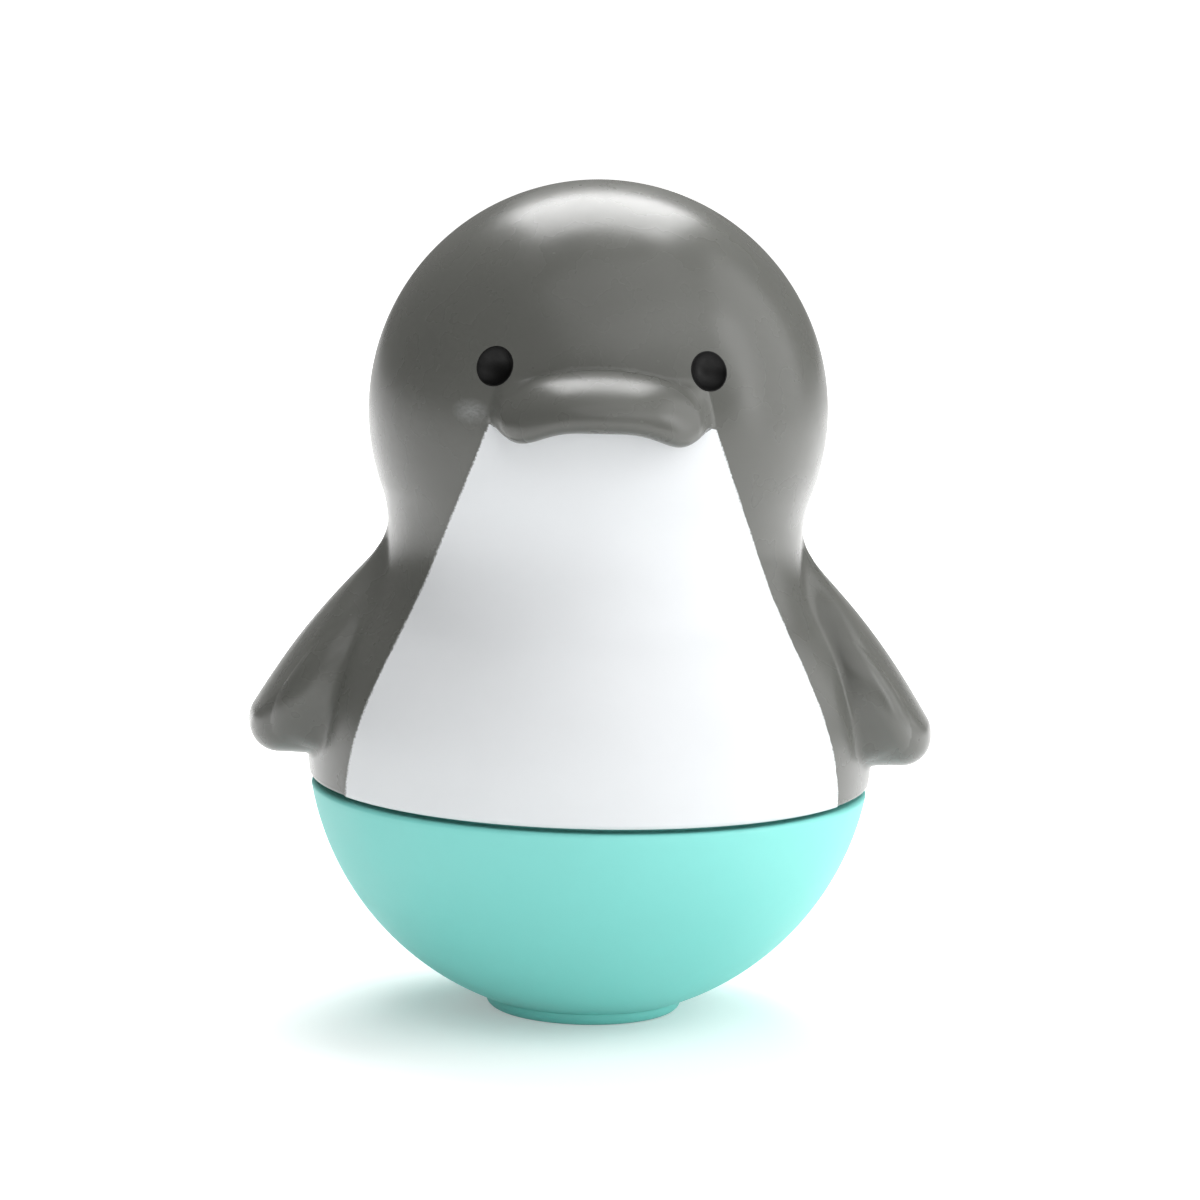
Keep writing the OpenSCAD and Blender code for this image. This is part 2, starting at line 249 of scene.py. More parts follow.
def neck_centre():
    """Centre of the neck's arc, which touches the head and the shoulder from outside."""
    to_head, to_shoulder = HEAD_R + NECK_R, SHOULDER_R + NECK_R
    line = SHOULDER_C - HEAD_C
    span = np.linalg.norm(line)
    along = (to_head**2 - to_shoulder**2 + span**2) / (2 * span)
    across = math.sqrt(to_head**2 - along**2)
    ahead = line / span
    return HEAD_C + along * ahead + across * np.array([-ahead[1], ahead[0]])


NECK_C = neck_centre()
FLIPPER_TIP = np.array([SHELL_HIGH[0] - FLIPPER_R, BELLY_Z + FLIPPER_TIP_RISE])
FLIPPER_TOP = NECK_C - np.array([NECK_R + FLIPPER_TOP_SINK, FLIPPER_TOP_DROP])


def smooth_step(low, high, value):
    t = np.clip((value - low) / (high - low), 0, 1)
    return t * t * (3 - 2 * t)


def smooth_union(a, b, blend):
    """Union of two distance fields with a fillet."""
    h = np.maximum(blend - np.abs(a - b), 0) / blend
    return np.minimum(a, b) - h * h * blend / 4


def above(start, end, r, z):
    """True where (r, z) lies on the upper left of the line from start to end."""
    d = end - start
    return d[0] * (z - start[1]) - d[1] * (r - start[0]) > 0


def turned_distance(r, z):
    """Signed distance to the body of revolution."""
    head = np.hypot(r, z - HEAD_Z) - HEAD_R
    neck = NECK_R - np.hypot(r - NECK_C[0], z - NECK_C[1])
    shoulder = np.hypot(r - SHOULDER_C[0], z - SHOULDER_C[1]) - SHOULDER_R
    belly = np.hypot(r, z - BELLY_Z) - BODY_R
    low = np.where(z > BELLY_Z, shoulder, belly)
    middle = np.where(above(SHOULDER_C, NECK_C, r, z), neck, low)
    return np.where(above(HEAD_C, NECK_C, r, z), head, middle)


def turned_radius(z, inset=0.0):
    """Radius of the body of revolution at height z, set in from the outer surface."""
    z = np.asarray(z, float)
    to_head, to_shoulder = HEAD_C - NECK_C, SHOULDER_C - NECK_C
    head_touch = HEAD_Z - to_head[1] / np.linalg.norm(to_head) * (HEAD_R - inset)
    shoulder_touch = BELLY_Z - to_shoulder[1] / np.linalg.norm(to_shoulder) * (SHOULDER_R - inset)

    def half_chord(radius, centre_z):
        return np.sqrt(np.maximum(radius**2 - (z - centre_z) ** 2, 0))

    belly = half_chord(BODY_R - inset, BELLY_Z)
    shoulder = SHOULDER_C[0] + half_chord(SHOULDER_R - inset, BELLY_Z)
    neck = NECK_C[0] - half_chord(NECK_R + inset, NECK_C[1])
    head = half_chord(HEAD_R - inset, HEAD_Z)
    return np.select([z < BELLY_Z, z < shoulder_touch, z < head_touch], [belly, shoulder, neck], head)


def flipper_line(u):
    """Middle line of a flipper's leaf at u from its top, 0, to its tip, 1.

    Returns x, z, their slopes and the bend of x.
    """
    run_x, run_z = FLIPPER_TIP - FLIPPER_TOP
    x = FLIPPER_TOP[0] + u * run_x + FLIPPER_BULGE * np.sin(np.pi * u)
    slope_x = run_x + FLIPPER_BULGE * np.pi * np.cos(np.pi * u)
    bend_x = -FLIPPER_BULGE * np.pi**2 * np.sin(np.pi * u)
    return x, FLIPPER_TOP[1] + u * run_z, slope_x, run_z, bend_x


def flipper_distance(x, y, z):
    """Distance to the flippers: to the leaf's middle line, then out to its edge, less the edge's radius."""
    x = np.abs(x) + FLIPPER_BOW * np.minimum(np.abs(y) / FLIPPER_LEAF, 1) ** 2
    run_x, run_z = FLIPPER_TIP - FLIPPER_TOP
    along = (x - FLIPPER_TOP[0]) * run_x + (z - FLIPPER_TOP[1]) * run_z
    u = np.clip(along / (run_x**2 + run_z**2), 0, 1)
    for _ in range(LINE_ROUNDS):
        line_x, line_z, slope_x, slope_z, bend_x = flipper_line(u)
        off_x, off_z = x - line_x, z - line_z
        change = (off_x * slope_x + off_z * slope_z) / (slope_x**2 + slope_z**2 - off_x * bend_x)
        u = np.clip(u + change, 0, 1)
    line_x, line_z, slope_x, slope_z, _ = flipper_line(u)
    off_x, off_z = x - line_x, z - line_z
    level = np.clip(z, FLIPPER_TIP[1], FLIPPER_TOP[1])
    outside = x > flipper_line((level - FLIPPER_TOP[1]) / run_z)[0]
    across = np.where(outside, off_x**2 + off_z**2, (z - level) ** 2)
    past_tip = np.maximum((off_x * slope_x + off_z * slope_z) / (slope_x**2 + slope_z**2), 0)
    u = u + FLIPPER_SOFT_TIP * (1 - np.exp(-past_tip / FLIPPER_SOFT_TIP))
    angle = FLIPPER_SPREAD * u**FLIPPER_TAPER
    half = FLIPPER_LEAF * np.sin(angle)
    widening = FLIPPER_LEAF * np.cos(angle) * FLIPPER_SPREAD * FLIPPER_TAPER * u ** (FLIPPER_TAPER - 1)
    run = np.hypot(slope_x, slope_z)
    beside = np.maximum(np.abs(y) - half, 0) * run / np.hypot(run, widening)
    return np.sqrt(across + beside**2) - FLIPPER_R


def bill_field(x, y, z):
    """Field of the bill, below 0 inside its row of upright ovals, and the smaller half size of each oval."""
    s = np.minimum(np.abs(x) / BILL_HALF_W, BILL_END)
    full = BILL_REACH * (1 - s**BILL_FULL) ** (1 / BILL_FULL)
    upper = BILL_Z + BILL_H * np.sqrt(1 - s * s)
    lower = BILL_Z + BILL_LOW_RISE - BILL_LOBE * np.sin(np.pi * s**BILL_LOBE_SET) ** 2
    middle, rise = (upper + lower) / 2, (upper - lower) / 2
    face_y = -np.sqrt(np.maximum(HEAD_R**2 - (s * BILL_HALF_W) ** 2 - (middle - HEAD_Z) ** 2, 1))
    out = face_y - y + BILL_SINK * smooth_step(*BILL_SINK_SPAN, s)
    lift = z - middle + BILL_SAG * np.clip(out / BILL_REACH, 0, 1)
    oval = np.abs(out / full) ** BILL_SQUARE + np.abs(lift / rise) ** BILL_SQUARE
    return oval ** (1 / BILL_SQUARE) - 1, np.minimum(full, rise)


def gradient(field, x, y, z):
    """Slope of a field at each point, as three arrays."""
    step = SLOPE_STEP
    return (
        (field(x + step, y, z) - field(x - step, y, z)) / (2 * step),
        (field(x, y + step, z) - field(x, y - step, z)) / (2 * step),
        (field(x, y, z + step) - field(x, y, z - step)) / (2 * step),
    )


def bill_distance(x, y, z):
    """Distance to the bill: from the field's slope close by, and never less than the oval's own distance."""
    field, half = bill_field(x, y, z)
    slope = np.sqrt(sum(g * g for g in gradient(lambda *p: bill_field(*p)[0], x, y, z)))
    close = field / np.maximum(slope, LEAST_SLOPE)
    beyond = np.maximum(np.abs(x) - BILL_END * BILL_HALF_W, 0)
    return np.where(field > 0, np.hypot(np.maximum(close, field * half), beyond), close + beyond)


def bill_fillet(x, z):
    """Blend between bill and head: wide above the bill's sides, tight below it and at its ends."""
    s = np.abs(x) / BILL_HALF_W
    sideways = smooth_step(*BILL_SIDE_SPAN, s)
    upward = smooth_step(*BILL_UP_SPAN, z - BILL_Z - BILL_H / 2 * (1 - s * s))
    at_end = smooth_step(*BILL_END_SPAN, s)
    return BILL_FILLET + (BILL_SIDE_FILLET - BILL_FILLET) * sideways * upward * (1 - at_end)


def skin_distance(x, y, z):
    """Distance to the whole grey skin. It is mirrored at the cut, so a mesh ends there cleanly."""
    x, y, z = np.broadcast_arrays(np.asarray(x, float), y, z)
    z = CUT_Z + np.abs(z - CUT_Z)
    d = turned_distance(np.hypot(x, y), z)
    wing = (np.abs(x) > WING_FROM_X) & (np.abs(y) < WING_HALF_Y) & (z < WING_TOP_Z)
    if wing.any():
        high = smooth_step(*FLIPPER_FILLET_SPAN, z[wing])
        fillet = FLIPPER_FILLET + (FLIPPER_TOP_FILLET - FLIPPER_FILLET) * high
        d[wing] = smooth_union(d[wing], flipper_distance(x[wing], y[wing], z[wing]), fillet)
    face = (np.abs(x) < FACE_HALF_X) & (y < FACE_FROM_Y) & (z > FACE_LOW_Z) & (z < FACE_TOP_Z)
    if face.any():
        bill = bill_distance(x[face], y[face], z[face])
        d[face] = smooth_union(d[face], bill, bill_fillet(x[face], z[face]))
    return d


def graded(start, stop, fine_spans, fine, coarse):
    """Grid lines from start to stop, closer together inside the fine spans."""
    lines = [start]
    direction = 1 if stop > start else -1
    while (stop - lines[-1]) * direction > 0:
        here = lines[-1]
        inside = any(low <= here <= high for low, high in fine_spans)
        lines.append(here + direction * (fine if inside else coarse))
    return lines


def cell_points(field, cells, corners, grid):
    """One point in each cell, in the middle of the places where the surface crosses the cell's edges."""
    values = np.stack([field[tuple((cells + corner).T)] for corner in corners], 1)
    total, hits = np.zeros((len(cells), 3)), np.zeros((len(cells), 1))
    for a in range(len(corners)):
        for b in range(a + 1, len(corners)):
            if np.abs(corners[a] - corners[b]).sum() == 1:
                cross = (values[:, a] < 0) != (values[:, b] < 0)
                t = np.where(cross, values[:, a] / np.where(cross, values[:, a] - values[:, b], 1), 0)
                total += cross[:, None] * (corners[a] + t[:, None] * (corners[b] - corners[a]))
                hits += cross[:, None]
    local = total / hits
    points = np.empty((len(cells), 3))
    for axis, lines in enumerate(grid):
        lines = np.asarray(lines)
        low = lines[cells[:, axis]]
        points[:, axis] = low + local[:, axis] * (lines[cells[:, axis] + 1] - low)
    return points


def cell_quads(inside, index):
    """Quads round every grid edge that the surface crosses, facing outwards."""
    faces = []
    for a in range(3):
        b, c = (a + 1) % 3, (a + 2) % 3
        edge_low, edge_high = [slice(1, -1)] * 3, [slice(1, -1)] * 3
        edge_low[a], edge_high[a] = slice(0, -1), slice(1, None)
        low, high = inside[tuple(edge_low)], inside[tuple(edge_high)]
        at = np.argwhere(low != high)
        at[:, b] += 1
        at[:, c] += 1
        ring = []
        for shift_b, shift_c in ((-1, -1), (0, -1), (0, 0), (-1, 0)):
            cell = at.copy()
            cell[:, b] += shift_b
            cell[:, c] += shift_c
            ring.append(index[tuple(cell.T)])
        quads = np.stack(ring, 1)
        outward = low[low != high]
        quads[~outward] = quads[~outward][:, ::-1]
        faces.append(quads)
    return np.concatenate(faces)


def surface_net(distance, grid):
    """Quad mesh of the zero surface on a graded grid, with one vertex in each cell that the surface crosses.

    Returns the vertices, the faces and each vertex's cell row along y.
    """
    xs, ys, zs = grid
    field = np.empty((len(xs), len(ys), len(zs)))
    grid_y, grid_z = np.meshgrid(ys, zs, indexing="ij")
    for i, x in enumerate(xs):
        field[i] = distance(x, grid_y, grid_z)
    inside = field < 0
    corners = np.array([(i, j, k) for i in (0, 1) for j in (0, 1) for k in (0, 1)])
    shape = tuple(n - 1 for n in field.shape)
    count = np.zeros(shape, int)
    for corner in corners:
        count += inside[tuple(slice(c, c + n) for c, n in zip(corner, shape))]
    active = (count > 0) & (count < len(corners))
    cells = np.argwhere(active)
    index = np.full(shape, -1)
    index[active] = np.arange(len(cells))
    return cell_points(field, cells, corners, grid), cell_quads(inside, index), cells[:, 1]


def settle(distance, points):
    """Moves points onto the zero surface."""
    for _ in range(SETTLE_ROUNDS):
        d = distance(*points.T)
        g = np.stack(gradient(distance, *points.T), 1)
        points = points - (d / np.maximum((g * g).sum(1), LEAST_SETTLE))[:, None] * g
    return points


def boundary_loop(faces, start):
    """The open edge of a patch as one loop of vertices, in the order of its faces, from a given vertex."""
    following = np.roll(faces, -1, 1)
    edges = np.stack([faces.ravel(), following.ravel()], 1)
    size = edges.max() + 1
    forward = edges[:, 0] * size + edges[:, 1]
    backward = edges[:, 1] * size + edges[:, 0]
    after = dict(edges[~np.isin(forward, backward)].tolist())
    loop = [start]
    while after[loop[-1]] != start:
        loop.append(after[loop[-1]])
    return loop


class Builder:
    """Collects vertices and faces of one mesh, in millimetres."""

    def __init__(self, points=(), faces=()):
        self.points = [tuple(p) for p in points]
        self.faces = [tuple(int(i) for i in f) for f in faces]

    def add(self, points):
        first = len(self.points)
        self.points.extend(tuple(float(c) for c in p) for p in points)
        return list(range(first, len(self.points)))

    def strip(self, chain, other):
        """Quads between two chains of equal length."""
        for i in range(len(chain) - 1):
            self.faces.append((chain[i + 1], chain[i], other[i], other[i + 1]))

    def stitch(self, chain, other):
        """Triangles between two chains of any length, matched by their arc length."""

        def shares(ids):
            p = np.array([self.points[i] for i in ids])
            run = np.concatenate([[0], np.cumsum(np.linalg.norm(np.diff(p, axis=0), axis=1))])
            return run / run[-1]

        a, b = shares(chain), shares(other)
        i = j = 0
        while i < len(chain) - 1 or j < len(other) - 1:
            if j == len(other) - 1 or (i < len(chain) - 1 and a[i + 1] <= b[j + 1]):
                self.faces.append((chain[i + 1], chain[i], other[j]))
                i += 1
            else:
                self.faces.append((chain[i], other[j], other[j + 1]))
                j += 1

    def make(self, name):
        """A Blender object with smooth shading and sharp edges above an angle."""
        mesh = bpy.data.meshes.new(name)
        mesh.from_pydata([tuple(c * MM for c in p) for p in self.points], [], self.faces)
        bm = bmesh.new()
        bm.from_mesh(mesh)
        bmesh.ops.recalc_face_normals(bm, faces=bm.faces)
        bm.to_mesh(mesh)
        bm.free()
        mesh.shade_smooth()
        mesh.set_sharp_from_angle(angle=SHARP)
        return place_object(name, mesh)


def place_object(name, data):
    """A new object in the scene."""
    made = bpy.data.objects.new(name, data)
    bpy.context.scene.collection.objects.link(made)
    return made


def arc(centre, radius, start, stop, steps):
    """Points of an arc in the r-z plane."""
    a = np.linspace(start, stop, steps + 1)
    return np.stack([centre[0] + radius * np.cos(a), centre[1] + radius * np.sin(a)], 1)


def revolve(profile, columns=TURNED_COLUMNS):
    """Builder with a closed r-z profile turned round the Z axis."""
    built = Builder()
    rings = []
    for r, z in profile:
        if r < TINY:
            rings.append(built.add([(0, 0, z)]) * columns)
        else:
            turn = np.arange(columns) * 2 * math.pi / columns
            ring = np.stack([r * np.cos(turn), r * np.sin(turn), np.full(columns, z)], 1)
            rings.append(built.add(ring))
    for ring, following in zip(rings, rings[1:] + rings[:1]):
        for i in range(columns):
            j = (i + 1) % columns
            face = list(dict.fromkeys((ring[i], ring[j], following[j], following[i])))
            if len(face) > 2:
                built.faces.append(tuple(face))
    return built


def outer_half(points, faces, rows, middle, side):
    """The net's skin on one side of the parting plane, its lower open edge and its edge along the parting."""
    keep = (rows[faces] <= middle).all(1) if side < 0 else (rows[faces] >= middle).all(1)
    used = np.unique(faces[keep])
    renumber = np.full(len(points), -1)
    renumber[used] = np.arange(len(used))
    outer, skin = points[used], renumber[faces[keep]]
    on_parting = rows[used] == middle
    on_cut = outer[:, 2] < CUT_Z + SLOPE_STEP
    outer[on_parting, 1] = 0
    outer[on_cut, 2] = CUT_Z
    corners = np.nonzero(on_cut & on_parting)[0]
    loop = boundary_loop(skin, corners[0])
    split = loop.index(corners[1])
    first, second = loop[: split + 1], loop[split:] + loop[:1]
    bottom, parting = (first, second) if on_cut[first[len(first) // 2]] else (second, first)
    return outer, skin, bottom, parting


def half_shell(name, net, middle, side):
    """One closed half of the hollow body: outer skin, rounded lower edge, rims and a turned inner wall."""
    outer, skin, bottom, parting = outer_half(*net, middle, side)
    built = Builder(outer, skin)
    radius = np.hypot(outer[bottom, 0], outer[bottom, 1])
    turn = side * np.arccos(np.clip(outer[bottom, 0] / radius, -1, 1))
    edge_rows = [bottom]
    for a in np.linspace(0, math.pi / 2, EDGE_STEPS + 1)[1:]:
        r = radius - EDGE_ROUND * (1 - math.cos(a))
        z = np.full(len(r), CUT_Z - EDGE_ROUND * math.sin(a))
        edge_rows.append(built.add(np.stack([r * np.cos(turn), r * np.sin(turn), z], 1)))
        built.strip(edge_rows[-2], edge_rows[-1])

    inner_z = np.linspace(EDGE_Z, SHELL_HIGH[2] - WALL, INNER_ROWS)
    inner_turn = np.linspace(turn[0], turn[-1], INNER_COLUMNS)
    inner = [
        built.add([(r * math.cos(t), r * math.sin(t), z) for t in inner_turn])
        for r, z in zip(turned_radius(inner_z[:-1], WALL), inner_z[:-1])
    ]
    pole = built.add([(0, 0, inner_z[-1])])[0]
    for lower, upper in zip(inner, inner[1:]):
        built.strip(upper, lower)
    built.faces.extend((inner[-1][i], inner[-1][i + 1], pole) for i in range(INNER_COLUMNS - 1))

    crown = max(range(len(parting)), key=lambda i: built.points[parting[i]][2])
    up = [row[-1] for row in edge_rows[:0:-1]] + parting[: crown + 1]
    down = parting[crown:] + [row[0] for row in edge_rows[1:]]
    built.stitch(edge_rows[-1], inner[0])
    built.stitch(up, [ring[-1] for ring in inner] + [pole])
    built.stitch(down, [pole] + [ring[0] for ring in inner[::-1]])
    return built.make(name)


def eye_frame(side):
    """Matrix from the Z axis to an eye's axis, from the middle of the eye's ball: side 1 is the left."""
    flat = math.cos(EYE_LIFT)
    axis = Vector((side * math.sin(EYE_TURN) * flat, -math.cos(EYE_TURN) * flat, math.sin(EYE_LIFT)))
    centre = Vector((0, 0, HEAD_Z)) + axis * EYE_BALL_AT
    return Matrix.Translation(centre * MM) @ axis.to_track_quat("Z", "Y").to_matrix().to_4x4()


def cut_eyes(shell):
    """Cuts the two round eye recesses into the front shell."""
    for side in (-1, 1):
        half_circle = arc((0, 0), EYE_BALL_R, -math.pi / 2, math.pi / 2, EYE_CUT_STEPS)
        ball = revolve(half_circle, EYE_COLUMNS).make("eye_cutter")
        ball.matrix_world = eye_frame(side)
        cut = shell.modifiers.new("eye", "BOOLEAN")
        cut.operation, cut.solver, cut.object = "DIFFERENCE", "MANIFOLD", ball
        bpy.context.view_layer.update()
        evaluated = shell.evaluated_get(bpy.context.evaluated_depsgraph_get())
        cut_mesh = bpy.data.meshes.new_from_object(evaluated)
        shell.modifiers.remove(cut)
        shell.data = cut_mesh
        bpy.data.objects.remove(ball)
    shell.data.shade_smooth()
    shell.data.set_sharp_from_angle(angle=SHARP)


def true_normals(shell):
    """Gives the outer skin the exact normals of the shape, so that highlights run smoothly over the mesh."""
    mesh = shell.data
    points = np.empty(len(mesh.vertices) * 3)
    mesh.vertices.foreach_get("co", points)
    points = points.reshape(-1, 3) / MM
    slope = np.stack(gradient(skin_distance, *points.T), 1)
    slope /= np.maximum(np.linalg.norm(slope, axis=1, keepdims=True), TINY)
    on_skin = (np.abs(skin_distance(*points.T)) < ON_SKIN) & (points[:, 2] > CUT_Z - SLOPE_STEP)
    corner_vertex = np.empty(len(mesh.loops), int)
    mesh.loops.foreach_get("vertex_index", corner_vertex)
    sizes = np.empty(len(mesh.polygons), int)
    mesh.polygons.foreach_get("loop_total", sizes)
    corner_face = np.repeat(np.arange(len(sizes)), sizes)
    facing = np.empty(len(sizes) * 3)
    mesh.polygons.foreach_get("normal", facing)
    agree = (slope[corner_vertex] * facing.reshape(-1, 3)[corner_face]).sum(1) > NORMAL_AGREES
    whole = np.bincount(corner_face, on_skin[corner_vertex] & agree, len(sizes)) == sizes
    normals = np.where(whole[corner_face][:, None], slope[corner_vertex], 0)
    mesh.normals_split_custom_set(normals.tolist())


def make_shells():
    """The front and back half of the grey body."""
    fine, coarse = CELLS
    reach = BODY_R + coarse
    to_front = graded(-fine / 2, -reach, (FINE_Y, (-reach, FINE_FACE_Y)), fine, coarse)
    to_back = graded(fine / 2, reach, (FINE_Y,), fine, coarse)
    to_side = graded(fine / 2, SHELL_HIGH[0] + coarse, FINE_X, fine, coarse)
    xs = [-x for x in to_side[::-1]] + to_side
    ys = to_front[::-1] + to_back
    zs = graded(CUT_Z - fine / 2, SHELL_HIGH[2] + coarse, FINE_Z, fine, coarse)
    points, faces, rows = surface_net(skin_distance, (xs, ys, zs))
    net = settle(skin_distance, points), faces, rows
    middle = len(to_front) - 1
    front = half_shell("front_shell_skin", net, middle, -1)
    back = half_shell("back_shell_skin", net, middle, 1)
    cut_eyes(front)
    for shell in (front, back):
        true_normals(shell)
    return front, back


def belly_half_width(z):
    """Half width of the white belly at height z: straight upper edges that flare to the seam."""
    top = np.array([BELLY_TOP_X, BILL_Z])
    slope = (BELLY_WAIST - top) / (top[1] - BELLY_WAIST[1])
    low_handle = BELLY_LOW + [0, BELLY_LOW_FLARE]
    handles = (BELLY_WAIST, BELLY_WAIST + BELLY_FLARE * slope, low_handle, BELLY_LOW)
    t = np.linspace(0, 1, BELLY_CURVE_STEPS)[:, None]
    weights = ((1 - t) ** 3, 3 * t * (1 - t) ** 2, 3 * t**2 * (1 - t), t**3)
    line = np.concatenate([[top], sum(w * h for w, h in zip(weights, handles))])[::-1]
    return np.interp(z, line[:, 1], line[:, 0])


def edge_wander(z, side):
    """How far the sprayed edge strays from its line, in millimetres."""
    return sum(size * np.sin(2 * math.pi * z / length + phase + side) for size, length, phase in EDGE_WAVES)


def belly_grid(lift, rows, columns):
    """Rows of points over the belly, lifted off the body, from the lower edge up to under the bill."""
    share = np.sin(np.linspace(-math.pi / 2, math.pi / 2, columns + 1))
    top = BILL_Z + BELLY_TUCK * (1 - share**2)
    rings = []
    for a in np.linspace(math.pi / 2, 0, EDGE_STEPS + 1)[:-1]:
        r = turned_radius(CUT_Z) - EDGE_ROUND + (EDGE_ROUND + lift) * math.cos(a)
        z = CUT_Z - (EDGE_ROUND + lift) * math.sin(a)
        rings.append((np.full(columns + 1, r), np.full(columns + 1, z)))
    for v in np.linspace(0, 1, rows + 1):
        z = CUT_Z + v * (top - CUT_Z)
        rings.append((turned_radius(z, -lift), z))
    grid = []
    for r, z in rings:
        half = belly_half_width(z) + edge_wander(z, np.sign(share))
        turn = share * np.arcsin(np.clip(half / r, 0, BELLY_WIDEST)) + BELLY_SHIFT / r
        grid.append(np.stack([r * np.sin(turn), -r * np.cos(turn), z], 1))
    return grid


def make_belly():
    """The white belly as a thin coat on the body, tucked in under the bill and round the lower edge."""
    cells = BELLY_CELLS
    built = Builder()
    outer = [built.add(row) for row in belly_grid(COAT, *cells)]
    inner = [built.add(row) for row in belly_grid(-COAT_ROOT, *cells)]
    for grid, order in ((outer, 1), (inner, -1)):
        for low, high in zip(grid, grid[1:]):
            built.strip(low[::order], high[::order])
    for a, b in ((outer[0], inner[0]), (outer[-1], inner[-1])):
        built.strip(a, b)
    for side in (0, -1):
        built.strip([row[side] for row in outer], [row[side] for row in inner])
    belly = built.make("belly_coat")
    points = np.array(built.points)
    from_edge = belly_half_width(points[:, 2]) - np.abs(points[:, 0] - BELLY_SHIFT)
    attribute = belly.data.attributes.new("from_edge", "FLOAT", "POINT")
    attribute.data.foreach_set("value", from_edge.astype(np.float32))
    return belly


def make_eye(side, name):
    """The black coat that lines one eye recess."""
    face_r = EYE_BALL_R - EYE_COAT

    def lip(radius):
        return math.asin((HEAD_R**2 - radius**2 - EYE_BALL_AT**2) / (2 * EYE_BALL_AT * radius))

    back = arc((0, 0), EYE_BALL_R + EYE_COAT / 4, -math.pi / 2, lip(EYE_BALL_R), EYE_STEPS)
    face = arc((0, 0), face_r, lip(face_r), -math.pi / 2, EYE_STEPS)
    profile = np.concatenate([back, face])
    profile[[0, -1], 0] = 0
    eye = revolve(profile, EYE_COLUMNS).make(name)
    eye.data.transform(eye_frame(side))
    return eye


def make_bowl():
    """The bowl: round outside with a broken rim, the spigot that stands in the body, and the screw web."""
    rim_r = float(turned_radius(RIM_Z - EDGE_ROUND)) - EDGE_ROUND
    spigot_r = float(turned_radius(EDGE_Z)) - SOCKET_WALL - SPIGOT_FIT
    bore_r = spigot_r - SPIGOT_WALL
    inner_r = BODY_R - BOWL_WALL
    web_z = PLUG_TOP + PLUG_FIT
    floor_z = web_z + WEB_T
    centre = (0, BELLY_Z)
    foot_angle = math.asin((FOOT_T - BELLY_Z) / BODY_R)
    rim_angle = math.asin((RIM_Z - EDGE_ROUND - BELLY_Z) / BODY_R)
    floor_angle = math.asin((floor_z - BELLY_Z) / inner_r)
    outside = arc(centre, BODY_R, foot_angle, rim_angle, BOWL_STEPS)
    rim = arc((rim_r, RIM_Z - EDGE_ROUND), EDGE_ROUND, 0, math.pi / 2, EDGE_STEPS)
    inside = arc(centre, inner_r, -math.acos(bore_r / inner_r), floor_angle, BOWL_INNER_STEPS)
    profile = np.concatenate([
        [(SCREW_HOLE_R, web_z), (PLUG_R + PLUG_FIT, web_z), (PLUG_R + PLUG_FIT, FOOT_T)],
        outside,
        rim[1:],
        [(spigot_r, RIM_Z), (spigot_r, SPIGOT_TOP), (bore_r, SPIGOT_TOP)],
        inside,
        [(SCREW_HOLE_R, floor_z)],
    ])
    return revolve(profile).make("bowl_shell")


def make_foot():
    """The foot disc with its rounded edge and the plug ring that closes the screw pocket."""
    rounding = arc((FOOT_R - FOOT_ROUND, FOOT_ROUND), FOOT_ROUND, -math.pi / 2, 0, FOOT_STEPS)
    bore_r = PLUG_R - PLUG_WALL
    plug = [(PLUG_R, FOOT_T), (PLUG_R, PLUG_TOP), (bore_r, PLUG_TOP), (bore_r, FOOT_T)]
    profile = np.concatenate([[(0, 0)], rounding, [(FOOT_R, FOOT_T)], plug, [(0, FOOT_T)]])
    return revolve(profile).make("foot_disc")


def make_object():
    """Builds every visible piece and ties it to the frame."""
    front, back = make_shells()
    pieces = {
        "front_shell": front,
        "back_shell": back,
        "belly_paint": make_belly(),
        "left_eye_paint": make_eye(1, "left_eye_coat"),
        "right_eye_paint": make_eye(-1, "right_eye_coat"),
        "base_bowl": make_bowl(),
        "foot_cap": make_foot(),
    }
    for node, piece in pieces.items():
        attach(piece, "root")
        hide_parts(node)
    return pieces


def linear(colour):
    """Linear colour from display values."""
    return tuple(((c / DISPLAY_WHITE + 0.055) / 1.055) ** 2.4 for c in colour)


def scaled(colour, factor):
    return tuple(min(c * factor, 1) for c in colour)


